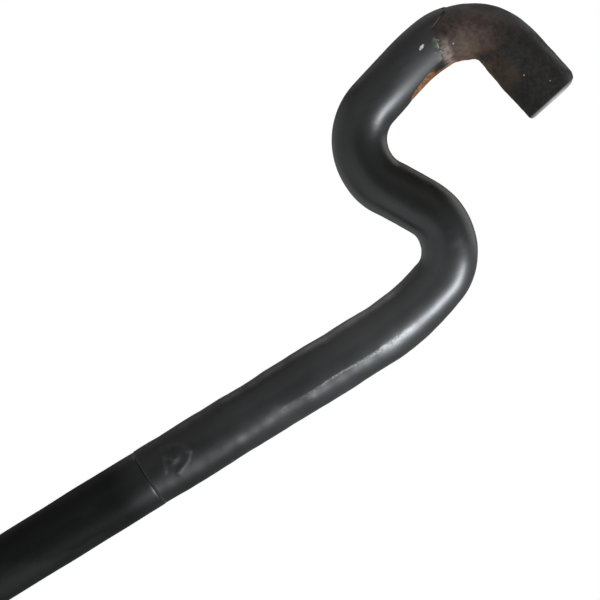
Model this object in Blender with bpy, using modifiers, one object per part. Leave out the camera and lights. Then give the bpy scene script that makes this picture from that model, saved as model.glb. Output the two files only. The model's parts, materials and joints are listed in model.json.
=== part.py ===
"""A cane bolt: a steel drop rod with a forged crook handle, sliding and turning in a welded gate bracket.

The rod stands along Z and drops into the ground. Its crook bends away to the left, towards -X. Lifting the rod takes
the rest pin up through the keyhole in the top guide, and a turn of the crook then lands the pin on the guide, which
holds the bolt up. The origin is the middle of the back plate's rear face, which lies on the gate, and the front of
the bolt looks along -Y. Sizes are in metres.
"""

import math

import bmesh
import bpy
from mathutils import Vector

# Rod and crook
ROD_RADIUS = 0.009525
NECK_THINNING = 0.00070  # the bar draws down where it is bent hot through the S
HOOK_SWELL = 0.00110  # and is upset a little thicker in the hook
FREE_SHAFT = 0.165  # straight rod between the back plate's top edge and the first bend
TIP_REACH = 0.189  # rod below the bottom guide when the bolt is down
TIP_TAPER = 0.014  # length of the rounded point
END_CHAMFER = 0.0012

# The crook's centre line from the straight shaft to the hook's end. Radii and lengths are along the middle of the bar.
LEAN_RADIUS = 0.0881
LEAN_TURN = 18.4
FIRST_RADIUS = 0.0171
FIRST_TURN = 101.5
CROSS_LENGTH = 0.0133
SECOND_RADIUS = 0.0183
SECOND_TURN = 104.6
NECK_LENGTH = 0.0160
EASE_RADIUS = 0.0606
EASE_TURN = 11.8
HOOK_RADIUS = 0.0196
HOOK_TURN = 83.0
LEG_LENGTH = 0.0216
ARC_STEP = 8.0  # degrees between the points of a tight bend

# Sleeves of shrunk tubing over the grip and the shaft
SLEEVE_WALL = 0.0005
SLEEVE_GAP = 0.0002  # between the bar and the tubing
SEAM_DROP = 0.0880  # from the first bend down to where the two sleeves meet
SEAM_GAP = 0.0007
SLEEVE_ABOVE_GUIDE = 0.0120

# Pins and washer
PIN_RADIUS = 0.0030
PIN_WALL = 0.0012
PIN_SLOT = 0.0010
PIN_CHAMFER = 0.0006
PIN_HOLE_CLEARANCE = 0.00025
PIN_REACH = 0.0065  # how far a pin stands out of the rod
PIN_RECESS = 0.0010  # how far the rest pin's blind end sits inside the rod
WASHER_RIM = 0.0086  # from the washer's bore to its edge
WASHER_THICKNESS = 0.0030
WASHER_CLEARANCE = 0.00045
PLATE_CLEARANCE = 0.0020  # between the washer's edge and the back plate
REST_GAP = 0.0003  # between pieces that rest on each other or are welded

# Bracket
LIFT = 0.108  # how far the bolt rises
LIFT_SPARE = 0.003  # the rest pin clears the top guide by this at full lift
PLATE_THICKNESS = 0.006
PLATE_MARGIN = 0.026  # plate beyond each guide
PLATE_CORNER = 0.007
PLATE_SIDE = 0.003  # plate beyond the gussets
GUIDE_THICKNESS = 0.008
GUIDE_CLEARANCE = 0.0006  # between the rod and a guide's hole
KEY_CLEARANCE = 0.0005
GUSSET_THICKNESS = 0.005
GUSSET_CLEARANCE = 0.0035  # between the washer's edge and a gusset
GUSSET_HEIGHT = 0.028
GUSSET_TOE = 0.004
GUSSET_CLIP = 0.005  # the corner cut off for the weld

# Coach screws
SCREW_RADIUS = 0.004
SCREW_LENGTH = 0.050
SCREW_POINT = 0.009
SCREW_HEAD_FLATS = 0.013
SCREW_HEAD_HEIGHT = 0.0055
SCREW_HOLE_CLEARANCE = 0.0005
SCREW_WASHER_RADIUS = 0.0085
SCREW_WASHER_THICKNESS = 0.0016
SCREW_EDGE = 0.0115  # from the plate's side and end edges to a screw's middle

ROUND_SIDES = 32
PIPE_RESOLUTION = 10  # a bevel of this resolution has 2 * 10 + 4 sides

# Where the pieces sit
WASHER_BORE = ROD_RADIUS + WASHER_CLEARANCE
WASHER_RADIUS = WASHER_BORE + WASHER_RIM
AXIS_Y = -(PLATE_THICKNESS + PLATE_CLEARANCE + WASHER_RADIUS)
GUIDE_GAP = LIFT + 2 * PIN_RADIUS + WASHER_THICKNESS + 3 * REST_GAP
GUIDE_Z = (GUIDE_GAP + GUIDE_THICKNESS) / 2
PLATE_HEIGHT = GUIDE_GAP + 2 * (GUIDE_THICKNESS + PLATE_MARGIN)
GUSSET_X = WASHER_RADIUS + GUSSET_CLEARANCE + GUSSET_THICKNESS / 2
GUIDE_HALF_WIDTH = GUSSET_X + GUSSET_THICKNESS / 2
PLATE_WIDTH = 2 * (GUIDE_HALF_WIDTH + PLATE_SIDE)
STOP_PIN_Z = -GUIDE_GAP / 2 + REST_GAP + PIN_RADIUS
WASHER_Z = STOP_PIN_Z + PIN_RADIUS + REST_GAP + WASHER_THICKNESS / 2
REST_PIN_Z = GUIDE_Z + GUIDE_THICKNESS / 2 + LIFT_SPARE + PIN_RADIUS - LIFT
FIRST_BEND_Z = PLATE_HEIGHT / 2 + FREE_SHAFT
TIP_Z = -(GUIDE_Z + GUIDE_THICKNESS / 2) - TIP_REACH
SEAM_Z = FIRST_BEND_Z - SEAM_DROP
SHAFT_SLEEVE_Z = GUIDE_Z + GUIDE_THICKNESS / 2 + SLEEVE_ABOVE_GUIDE
PIN_HOLE_RADIUS = PIN_RADIUS + PIN_HOLE_CLEARANCE
SCREW_X = PLATE_WIDTH / 2 - SCREW_EDGE
SCREW_Z = PLATE_HEIGHT / 2 - SCREW_EDGE


MERGE_DISTANCE = 0.00001
SMOOTH_ANGLE = math.radians(35)


def clear_scene():
    for thing in list(bpy.data.objects):
        bpy.data.objects.remove(thing)


def finish(name, color, roughness, metallic):
    """A Principled material of one colour."""
    material = bpy.data.materials.new(name)
    material.use_nodes = True
    shader = material.node_tree.nodes["Principled BSDF"]
    shader.inputs["Base Color"].default_value = (*color, 1)
    shader.inputs["Roughness"].default_value = roughness
    shader.inputs["Metallic"].default_value = metallic
    return material


def add_object(name, data, collection, material=None, parent=None, location=(0, 0, 0), rotation=(0, 0, 0)):
    """Links an object to a collection, placed under its parent. Rotation is in degrees."""
    thing = bpy.data.objects.new(name, data)
    collection.objects.link(thing)
    thing.parent = parent
    thing.location = location
    thing.rotation_euler = [math.radians(angle) for angle in rotation]
    if material is not None:
        data.materials.append(material)
    return thing


# Outlines and profiles


def arc(center_x, center_y, radius, start, stop, steps):
    """Points along a circle's arc, between two angles in degrees."""
    angles = [math.radians(start + (stop - start) * i / steps) for i in range(steps + 1)]
    return [(center_x + radius * math.cos(a), center_y + radius * math.sin(a)) for a in angles]


def circle(center_x, center_y, radius):
    return arc(center_x, center_y, radius, 0, 360, ROUND_SIDES)[:-1]


def rounded_rectangle(width, height, corner):
    x, y = width / 2 - corner, height / 2 - corner
    corners = ((x, y, 0), (-x, y, 90), (-x, -y, 180), (x, -y, 270))
    return [point for cx, cy, a in corners for point in arc(cx, cy, corner, a, a + 90, 6)]


def guide_outline():
    """A guide seen from above, about the rod's axis: square against the plate, with a round nose."""
    back = -(AXIS_Y + PLATE_THICKNESS + REST_GAP)
    nose = arc(0, 0, GUIDE_HALF_WIDTH, 180, 360, ROUND_SIDES)
    return [(GUIDE_HALF_WIDTH, back), (-GUIDE_HALF_WIDTH, back), *nose]


def keyhole():
    """The top guide's hole, with a slot at the front that the rest pin rises through."""
    hole = ROD_RADIUS + GUIDE_CLEARANCE
    half_slot = PIN_RADIUS + KEY_CLEARANCE
    slot_end = ROD_RADIUS + PIN_REACH + KEY_CLEARANCE
    mouth = math.degrees(math.asin(half_slot / hole))
    around = arc(0, 0, hole, -90 + mouth, 270 - mouth, ROUND_SIDES)
    return [*around, (-half_slot, -slot_end), (half_slot, -slot_end)]


def gusset_outline(up):
    """A gusset in the plane of x, out from the plate, and y, away from its guide; up is 1 or -1."""
    depth = -AXIS_Y - PLATE_THICKNESS + GUSSET_TOE
    corners = (
        (GUSSET_CLIP, 0),
        (depth, 0),
        (depth, GUSSET_TOE),
        (GUSSET_TOE, GUSSET_HEIGHT),
        (0, GUSSET_HEIGHT),
        (0, GUSSET_CLIP),
    )
    return [(x, up * y) for x, y in corners]


def pin_outline():
    """A slotted spring pin's C, open at the top."""
    outer = math.degrees(math.asin(PIN_SLOT / 2 / PIN_RADIUS))
    inner_radius = PIN_RADIUS - PIN_WALL
    inner = math.degrees(math.asin(PIN_SLOT / 2 / inner_radius))
    outside = arc(0, 0, PIN_RADIUS, 90 + outer, 450 - outer, 20)
    inside = arc(0, 0, inner_radius, 450 - inner, 90 + inner, 20)
    return outside + inside


# Ways to make a solid


def flat_plate(name, outlines, thickness, collection, **place):
    """A flat piece from closed outlines, the first its edge and the others its holes."""
    curve = bpy.data.curves.new(name, "CURVE")
    curve.dimensions = "2D"
    curve.fill_mode = "BOTH"
    curve.extrude = thickness / 2
    for outline in outlines:
        spline = curve.splines.new("POLY")
        spline.points.add(len(outline) - 1)
        for point, (x, y) in zip(spline.points, outline):
            point.co = (x, y, 0, 1)
        spline.use_cyclic_u = True
    return add_object(name, curve, collection, **place)


def turned(name, profile, closed, collection, **place):
    """A shape turned about its own Z axis, from (radius, height) points that run down its outer side."""
    mesh = bpy.data.meshes.new(name)
    count = len(profile)
    edges = [(i, (i + 1) % count) for i in range(count if closed else count - 1)]
    mesh.from_pydata([(r, 0, z) for r, z in profile], edges, [])
    piece = add_object(name, mesh, collection, **place)
    screw = piece.modifiers.new("turn", "SCREW")
    screw.steps = ROUND_SIDES
    screw.render_steps = ROUND_SIDES
    screw.use_merge_vertices = True
    screw.merge_threshold = MERGE_DISTANCE
    return piece


def ring(name, bore, radius, thickness, collection, **place):
    profile = [(bore, thickness / 2), (radius, thickness / 2), (radius, -thickness / 2), (bore, -thickness / 2)]
    return turned(name, profile, True, collection, **place)


def prism_guide(name, sides, radius, length, cutters, **place):
    """A prism about its own Z axis that only cuts or joins another piece, and is never part of the model."""
    mesh = bpy.data.meshes.new(name)
    shape = bmesh.new()
    bmesh.ops.create_cone(shape, cap_ends=True, segments=sides, radius1=radius, radius2=radius, depth=length)
    shape.to_mesh(mesh)
    shape.free()
    guide = add_object(name, mesh, cutters, **place)
    guide.hide_render = True
    guide.display_type = "WIRE"
    return guide


def combine(piece, guide, operation):
    boolean = piece.modifiers.new(guide.name, "BOOLEAN")
    boolean.operation = operation
    boolean.object = guide
    boolean.solver = "EXACT"


def bar_along(name, stations, radii, collection, capped, **place):
    """A round bar or open tube along points, with its own radius at each, as one welded mesh."""
    curve = bpy.data.curves.new(name, "CURVE")
    curve.dimensions = "3D"
    curve.bevel_depth = 1.0
    curve.bevel_resolution = PIPE_RESOLUTION
    curve.use_fill_caps = capped
    spline = curve.splines.new("POLY")
    spline.points.add(len(stations) - 1)
    for point, station, radius in zip(spline.points, stations, radii):
        point.co = (*station, 1)
        point.radius = radius
    rough = add_object(name + "_curve", curve, collection)
    bpy.context.view_layer.update()
    mesh = bpy.data.meshes.new_from_object(rough.evaluated_get(bpy.context.evaluated_depsgraph_get()))
    bpy.data.objects.remove(rough)
    shape = bmesh.new()
    shape.from_mesh(mesh)
    bmesh.ops.remove_doubles(shape, verts=shape.verts, dist=MERGE_DISTANCE)
    shape.to_mesh(mesh)
    shape.free()
    mesh.shade_smooth()
    mesh.set_sharp_from_angle(angle=SMOOTH_ANGLE)
    return add_object(name, mesh, collection, **place)


# The rod's line


def crook_line():
    """(distance, point) pairs along the middle of the bar from its tip, and the distances where its parts begin.

    The line lies in the XZ plane about the rod's axis. A positive turn bends to the left, towards -X.
    """
    steps = (
        ("shaft", FIRST_BEND_Z - TIP_Z, 0),
        ("lean", LEAN_RADIUS, LEAN_TURN),
        ("first bend", FIRST_RADIUS, FIRST_TURN),
        ("cross", CROSS_LENGTH, 0),
        ("second bend", SECOND_RADIUS, -SECOND_TURN),
        ("neck", NECK_LENGTH, 0),
        ("ease", EASE_RADIUS, -EASE_TURN),
        ("hook", HOOK_RADIUS, -HOOK_TURN),
        ("leg", LEG_LENGTH, 0),
    )
    x, z, heading, distance = 0.0, TIP_Z, 0.0, 0.0
    line = [(0.0, Vector((x, 0, z)))]
    begins = {}
    for name, size, turn in steps:
        begins[name] = distance
        pieces = max(1, math.ceil(abs(turn) / ARC_STEP))
        part = math.radians(turn) / pieces
        chord = 2 * size * math.sin(abs(part) / 2) if turn else size
        length = size * abs(part) if turn else size
        for _ in range(pieces):
            heading += part / 2
            x -= chord * math.sin(heading)
            z += chord * math.cos(heading)
            heading += part / 2
            distance += length
            line.append((distance, Vector((x, 0, z))))
    begins["end"] = distance
    return line, begins


def between(low, high, value):
    """0 at low, 1 at high, and a smooth S between them."""
    t = min(1.0, max(0.0, (value - low) / (high - low)))
    return t * t * (3 - 2 * t)


def bar_radius(distance, begins):
    """The bar thins through the S and thickens again round the hook."""
    thinning = NECK_THINNING * between(begins["lean"], begins["first bend"], distance)
    swelling = (NECK_THINNING + HOOK_SWELL) * between(begins["ease"], begins["leg"], distance)
    return ROD_RADIUS - thinning + swelling


def point_at(line, distance):
    """The point that many metres along the line."""
    for (near, a), (far, b) in zip(line, line[1:]):
        if distance <= far:
            return a.lerp(b, (distance - near) / (far - near))
    return line[-1][1]


def stretch(line, start, stop):
    """The line's own points between two distances, with a point at each end."""
    margin = ROD_RADIUS / 20
    inner = [d for d, _ in line if start + margin < d < stop - margin]
    return [(d, point_at(line, d)) for d in (start, *inner, stop)]


# The pieces


def make_rod(line, begins, cutters, **place):
    """One bar, with a rounded point below, a chamfered end on the hook and two cross holes for the pins."""
    taper = [(TIP_TAPER * (1 - math.cos(a)), 0.5 + 0.5 * math.sin(a)) for a in (0, 0.4, 0.8, 1.2, math.pi / 2)]
    end = begins["end"]
    shoulder = [d for d, _ in line if TIP_TAPER < d < end - END_CHAMFER]
    distances = [d for d, _ in taper] + shoulder + [end - END_CHAMFER, end]
    radii = [ROD_RADIUS * share for _, share in taper]
    radii += [bar_radius(d, begins) for d in shoulder]
    radii += [bar_radius(end, begins), bar_radius(end, begins) - END_CHAMFER]
    rod = bar_along("cane_rod", [point_at(line, d) for d in distances], radii, capped=True, **place)
    for pin, height, rotation in (("rest", REST_PIN_Z, (90, 0, 0)), ("stop", STOP_PIN_Z, (0, 90, 0))):
        hole = prism_guide(f"{pin}_pin_hole", ROUND_SIDES, PIN_HOLE_RADIUS, 4 * ROD_RADIUS, cutters,
                           parent=place["parent"], location=(0, 0, height), rotation=rotation)
        combine(rod, hole, "DIFFERENCE")


def make_sleeve(name, line, begins, start, stop, **place):
    """Tubing shrunk on the bar between two distances along it."""
    stations = stretch(line, start, stop)
    radii = [bar_radius(d, begins) + SLEEVE_GAP for d, _ in stations]
    sleeve = bar_along(name, [p for _, p in stations], radii, capped=False, **place)
    solidify = sleeve.modifiers.new("wall", "SOLIDIFY")
    solidify.thickness = SLEEVE_WALL
    solidify.offset = 1
    solidify.use_even_offset = True


def make_pin(name, length, **place):
    """A slotted spring pin, rolled from sheet, along its own Z axis."""
    flat_plate(name, [pin_outline()], length, **place)


def make_screw(name, collection, cutters, steel, parent, x, z):
    """A hexagon-headed coach screw whose shank runs back into the gate."""
    shank_top = SCREW_HEAD_HEIGHT / 2
    profile = [
        (0, shank_top),
        (SCREW_RADIUS, shank_top),
        (SCREW_RADIUS, -SCREW_LENGTH + SCREW_POINT),
        (SCREW_RADIUS * 0.1, -SCREW_LENGTH),
        (0, -SCREW_LENGTH),
    ]
    seat = -PLATE_THICKNESS - SCREW_WASHER_THICKNESS - 2 * REST_GAP
    place = dict(parent=parent, rotation=(90, 0, 0))
    screw = turned(name, profile, False, collection, material=steel, location=(x, seat, z), **place)
    corner = SCREW_HEAD_FLATS / 2 / math.cos(math.pi / 6)
    head = prism_guide(f"{name}_head", 6, corner, SCREW_HEAD_HEIGHT, cutters,
                       location=(x, seat - SCREW_HEAD_HEIGHT / 2, z), **place)
    combine(screw, head, "UNION")


def make_bracket(collection, cutters, frame, paint, zinc):
    """The back plate, its two guides with their gussets, and the four screws that hold it to the gate."""
    standing = dict(parent=frame, rotation=(90, 0, 0))
    sides = (("left", -1), ("right", 1))
    ends = (("top", 1), ("bottom", -1))
    screw_hole = SCREW_RADIUS + SCREW_HOLE_CLEARANCE
    holes = [circle(sx * SCREW_X, sz * SCREW_Z, screw_hole) for _, sx in sides for _, sz in ends]
    plate_edge = rounded_rectangle(PLATE_WIDTH, PLATE_HEIGHT, PLATE_CORNER)
    flat_plate("back_plate", [plate_edge, *holes], PLATE_THICKNESS, collection, material=paint,
               location=(0, -PLATE_THICKNESS / 2, 0), **standing)
    rod_hole = circle(0, 0, ROD_RADIUS + GUIDE_CLEARANCE)
    for name, inside, sz in (("top_guide", keyhole(), 1), ("bottom_guide", rod_hole, -1)):
        flat_plate(name, [guide_outline(), inside], GUIDE_THICKNESS, collection, material=paint,
                   parent=frame, location=(0, AXIS_Y, sz * GUIDE_Z))
    for end, sz in ends:
        guide_face = sz * (GUIDE_GAP / 2 - REST_GAP)
        for side, sx in sides:
            flat_plate(f"gusset_{end}_{side}", [gusset_outline(-sz)], GUSSET_THICKNESS, collection,
                       material=paint, parent=frame, rotation=(90, 0, -90),
                       location=(sx * GUSSET_X, -PLATE_THICKNESS - REST_GAP, guide_face))
            washer_y = -PLATE_THICKNESS - REST_GAP - SCREW_WASHER_THICKNESS / 2
            ring(f"screw_washer_{end}_{side}", screw_hole, SCREW_WASHER_RADIUS, SCREW_WASHER_THICKNESS,
                 collection, material=zinc, location=(sx * SCREW_X, washer_y, sz * SCREW_Z), **standing)
            make_screw(f"coach_screw_{end}_{side}", collection, cutters, zinc, frame,
                       sx * SCREW_X, sz * SCREW_Z)


def make_cane(collection, cutters, axis, steel, pin_steel, tubing, dark_tubing):
    """The rod with its two sleeves and two cross pins, which lift and turn together."""
    line, begins = crook_line()
    place = dict(collection=collection, parent=axis)
    make_rod(line, begins, cutters, material=steel, **place)
    seam = SEAM_Z - TIP_Z
    make_sleeve("grip_sleeve", line, begins, seam + SEAM_GAP / 2, begins["hook"], material=tubing, **place)
    make_sleeve("shaft_sleeve", line, begins, SHAFT_SLEEVE_Z - TIP_Z, seam - SEAM_GAP / 2,
                material=dark_tubing, **place)
    rest_front = ROD_RADIUS + PIN_REACH
    rest_back = ROD_RADIUS - PIN_RECESS
    make_pin("rest_pin", rest_front + rest_back, material=pin_steel, rotation=(90, 0, 0),
             location=(0, (rest_back - rest_front) / 2, REST_PIN_Z), **place)
    make_pin("stop_pin", 2 * rest_front, material=pin_steel, rotation=(90, 0, 90),
             location=(0, 0, STOP_PIN_Z), **place)


def main():
    clear_scene()
    scene = bpy.context.scene
    collection = bpy.data.collections.new("cane_bolt")
    cutters = bpy.data.collections.new("cutters")
    scene.collection.children.link(collection)
    scene.collection.children.link(cutters)

    steel = finish("rusted_steel", (0.075, 0.058, 0.050), 0.62, 0.6)
    tubing = finish("black_tubing", (0.020, 0.021, 0.023), 0.34, 0.0)
    dark_tubing = finish("dark_tubing", (0.010, 0.011, 0.011), 0.28, 0.0)
    paint = finish("black_paint", (0.022, 0.022, 0.023), 0.45, 0.0)
    zinc = finish("zinc_plate", (0.42, 0.42, 0.40), 0.38, 1.0)
    pin_steel = finish("pin_steel", (0.20, 0.19, 0.18), 0.40, 1.0)

    frame = add_object("bracket_frame", None, collection)
    axis = add_object("cane_axis", None, collection, location=(0, AXIS_Y, 0))
    make_bracket(collection, cutters, frame, paint, zinc)
    ring("lift_washer", WASHER_BORE, WASHER_RADIUS, WASHER_THICKNESS, collection, material=zinc,
         parent=axis, location=(0, 0, WASHER_Z))
    make_cane(collection, cutters, axis, steel, pin_steel, tubing, dark_tubing)


main()
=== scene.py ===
# %% [markdown]
# # A cane bolt
#
# A cane bolt locks a gate to the ground. It is a heavy steel rod, bent at the top into a crook like a
# walking cane's, that slides and turns in a welded bracket. Here the crook is sheathed in shrunk black
# tubing, its hook is bare and rusty, and the bracket is painted. The CAD model is loaded first as a fixed
# frame that gives the places, so what is made below only has to look right.

import json
import math

import bmesh
import bpy
import numpy as np
from mathutils import Matrix, Vector


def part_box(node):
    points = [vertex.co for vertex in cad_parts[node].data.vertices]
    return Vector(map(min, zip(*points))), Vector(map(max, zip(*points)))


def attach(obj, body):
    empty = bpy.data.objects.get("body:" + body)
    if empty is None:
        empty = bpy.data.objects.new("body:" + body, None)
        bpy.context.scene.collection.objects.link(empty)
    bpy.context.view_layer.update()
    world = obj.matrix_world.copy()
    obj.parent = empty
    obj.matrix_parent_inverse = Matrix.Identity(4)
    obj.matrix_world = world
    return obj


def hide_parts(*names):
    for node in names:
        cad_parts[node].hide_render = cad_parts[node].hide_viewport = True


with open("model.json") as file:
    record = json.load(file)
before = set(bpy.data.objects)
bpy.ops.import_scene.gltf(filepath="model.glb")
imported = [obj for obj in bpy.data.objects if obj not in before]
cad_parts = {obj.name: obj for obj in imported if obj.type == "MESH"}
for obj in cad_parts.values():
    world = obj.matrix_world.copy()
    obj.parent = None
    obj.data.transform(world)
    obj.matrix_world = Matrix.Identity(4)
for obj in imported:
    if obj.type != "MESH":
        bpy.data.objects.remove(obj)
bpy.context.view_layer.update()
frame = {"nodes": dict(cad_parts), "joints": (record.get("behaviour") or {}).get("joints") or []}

# %% [markdown]
# ## Where things are
#
# The rod's axis is the turning joint's own, and its lowest point comes from its box. The crook is a chain
# of straight runs and arcs that starts a known distance above the seam between the two lengths of tubing,
# so its whole centre line follows from a few radii and angles.

# %% The rod's line
TURN_JOINT = next(joint for joint in frame["joints"] if joint["name"] == "bolt_turn")
AXIS_Y = TURN_JOINT["pos_m"][1]
ROD_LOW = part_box("cane_rod")[0]
BAR_RADIUS = 0.009525
NECK_THINNING = 0.0007
HOOK_SWELL = 0.0011
CROOK = (
    ("lean", 0.0881, 18.4),
    ("first bend", 0.0171, 101.5),
    ("cross", 0.0133, 0),
    ("second bend", 0.0183, -104.6),
    ("neck", 0.016, 0),
    ("ease", 0.0606, -11.8),
    ("hook", 0.0196, -83.0),
    ("leg", 0.0216, 0),
)
STEP = 0.0006
SEAM_DROP = 0.088
SEAM_ALONG = -SEAM_DROP


def walk(parts):
    """(distance, x, z) rows along runs and arcs from the shaft's end, and where each part begins."""
    x, z, heading, distance = 0.0, 0.0, 0.0, 0.0
    rows, begins = [(distance, x, z)], {}
    for name, size, turn in parts:
        begins[name] = distance
        length = size * abs(math.radians(turn)) if turn else size
        pieces = max(1, math.ceil(length / STEP))
        half = math.radians(turn) / pieces / 2
        chord = 2 * size * math.sin(abs(half)) if turn else size / pieces
        for _ in range(pieces):
            heading += half
            x -= chord * math.sin(heading)
            z += chord * math.cos(heading)
            heading += half
            distance += length / pieces
            rows.append((distance, x, z))
    begins["end"] = distance
    return np.array(rows), begins


def bump(distance):
    """1 at no distance, and almost nothing at 2 to either side."""
    return np.exp(-(distance**2))


def smooth_step(low, high, value):
    """0 below low, 1 above high, and a smooth S between them."""
    t = np.clip((value - low) / (high - low), 0, 1)
    return t * t * (3 - 2 * t)


CROOK_ROWS, AT = walk(CROOK)


def bar_radius(along):
    """The bar thins through the S and is thicker again round the hook."""
    thinner = NECK_THINNING * smooth_step(AT["lean"], AT["first bend"], along)
    thicker = (NECK_THINNING + HOOK_SWELL) * smooth_step(AT["ease"], AT["leg"], along)
    return BAR_RADIUS - thinner + thicker


BEND_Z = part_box("grip_sleeve")[0].z + SEAM_DROP
print("the crook takes", round(AT["end"] * 1000, 1), "mm of bar and starts at z =", round(BEND_Z, 4))

# %% [markdown]
# ## Sums with sockets
#
# Node trees are clearer when their sums read like sums. A small class wraps one output socket and answers
# Python's own operators with a Math node, so `1 - mask * 0.5` builds the two nodes it needs. One method
# adds any other node from its type, its settings and its inputs.

# %% Two small classes for node trees


class Wire:
    """One output socket of a node. A sum on it adds a Math node."""

    def __init__(self, nodes, socket):
        self.nodes = nodes
        self.socket = socket

    def other(self, name):
        """Another output of the same node."""
        return Wire(self.nodes, self.socket.node.outputs[name])

    def math(self, operation, *values, clamp=False):
        settings = {"operation": operation, "use_clamp": clamp}
        return self.nodes.add("ShaderNodeMath", settings, dict(enumerate(values)))

    def __add__(self, value):
        return self.math("ADD", self, value)

    def __sub__(self, value):
        return self.math("SUBTRACT", self, value)

    def __rsub__(self, value):
        return self.math("SUBTRACT", value, self)

    def __mul__(self, value):
        return self.math("MULTIPLY", self, value)

    def __truediv__(self, value):
        return self.math("DIVIDE", self, value)

    __radd__ = __add__
    __rmul__ = __mul__

    def clamped(self):
        return self.math("ADD", self, 0.0, clamp=True)

    def between(self, low, high):
        """0 below low, 1 above high, and smooth between. With low above high it falls."""
        settings = {"interpolation_type": "SMOOTHSTEP"}
        inputs = {"Value": self, "From Min": low, "From Max": high}
        return self.nodes.add("ShaderNodeMapRange", settings, inputs)


class Nodes:
    """Builds one node tree."""

    def __init__(self, tree):
        self.tree = tree

    def add(self, kind, settings=None, inputs=None, output=0):
        node = self.tree.nodes.new(kind)
        for name, value in (settings or {}).items():
            if name == "captures":
                for label, data_type in value:
                    node.capture_items.new(data_type, label)
            else:
                setattr(node, name, value)
        for name, value in (inputs or {}).items():
            if isinstance(value, Wire):
                self.tree.links.new(value.socket, node.inputs[name])
            else:
                node.inputs[name].default_value = value
        return Wire(self, node.outputs[output])


# %% [markdown]
# ## A finish
#
# A finish is a material built up from masks: noise for mottling, an attribute for where a mark lies, and
# a layer of another colour under each mask, a real stain on some and painted light on others. Object
# coordinates are in metres here, because every piece sits at the origin, so a noise scale of 500 gives
# spots of about 2 mm.

# %% The finish class


class Finish(Nodes):
    """A Principled material whose colour, roughness and relief are built node by node."""

    def __init__(self, name, constants=None):
        self.material = bpy.data.materials.new(name)
        self.material.use_nodes = True
        super().__init__(self.material.node_tree)
        self.shader = self.tree.nodes["Principled BSDF"]
        for socket, value in (constants or {}).items():
            self.shader.inputs[socket].default_value = value
        self.place = self.add("ShaderNodeTexCoord").other("Object")

    def noise(self, scale, detail=4, roughness=0.55, stretch=(1, 1, 1), shift=0):
        """Smooth random values from 0 to 1, in blobs of about 1 / scale metres."""
        place = self.place
        if stretch != (1, 1, 1) or shift:
            moved = {"Vector": place, "Scale": stretch, "Location": (shift, shift, shift)}
            place = self.add("ShaderNodeMapping", {}, moved)
        inputs = {"Vector": place, "Scale": scale, "Detail": detail, "Roughness": roughness}
        return self.add("ShaderNodeTexNoise", {}, inputs)

    def specks(self, scale, share, size):
        """Small round spots in a share of the cells of a random pattern, as a mask."""
        cells = self.add("ShaderNodeTexVoronoi", {}, {"Vector": self.place, "Scale": scale})
        chosen = self.add("ShaderNodeSeparateColor", {}, {"Color": cells.other("Color")})
        return cells.between(size, size * 0.5) * chosen.between(1 - share, 1 - share + 0.01)

    def mark(self, name):
        """A number that the mesh carries at each of its points."""
        return self.add("ShaderNodeAttribute", {"attribute_name": name}).other("Fac")

    def mix(self, amount, first, second):
        """The first colour, turning into the second where the amount is 1."""
        return self.add("ShaderNodeMix", {"data_type": "RGBA"}, {0: amount, 6: first, 7: second}, output=2)

    def base(self, color):
        """Sets the colour that stains are laid on."""
        self.color = color
        self.feed("Base Color", color)

    def stain_or_painted_light(self, amount, color):
        """Turns the colour so far into another one where the amount is 1."""
        self.base(self.mix(amount, self.color, color))

    def feed(self, socket, wire):
        self.tree.links.new(wire.socket, self.shader.inputs[socket])

    def relief(self, height, distance):
        """Bump from a height of 0 to 1, standing that many metres high."""
        inputs = {"Height": height, "Strength": 1.0, "Distance": distance}
        self.feed("Normal", self.add("ShaderNodeBump", {}, inputs))


def rgb(red, green, blue):
    """A colour given as a screen shows it, from 0 to 255, as the light values a shader takes."""
    shares = [c / 255 for c in (red, green, blue)]
    return (*[((c + 0.055) / 1.055) ** 2.4 if c > 0.04 else c / 12.92 for c in shares], 1.0)


# %% [markdown]
# ## Tubing
#
# Shrunk tubing is smooth, waxy and almost black, greyer where it has been rubbed, with a fine orange-peel
# that breaks up its highlight. The wrinkles, the crease and the torn end are real shapes in the mesh,
# which carries a mark for each, so the finish can colour their edges. Some of that colour is painted
# light: painted shade in the pucker's hollows and at the crease's foot, painted highlights along the
# crease's crest and the torn lip. Painted shade also darkens the tubing through the S and towards the
# seam.

# %% Finishes for the tubing


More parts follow.
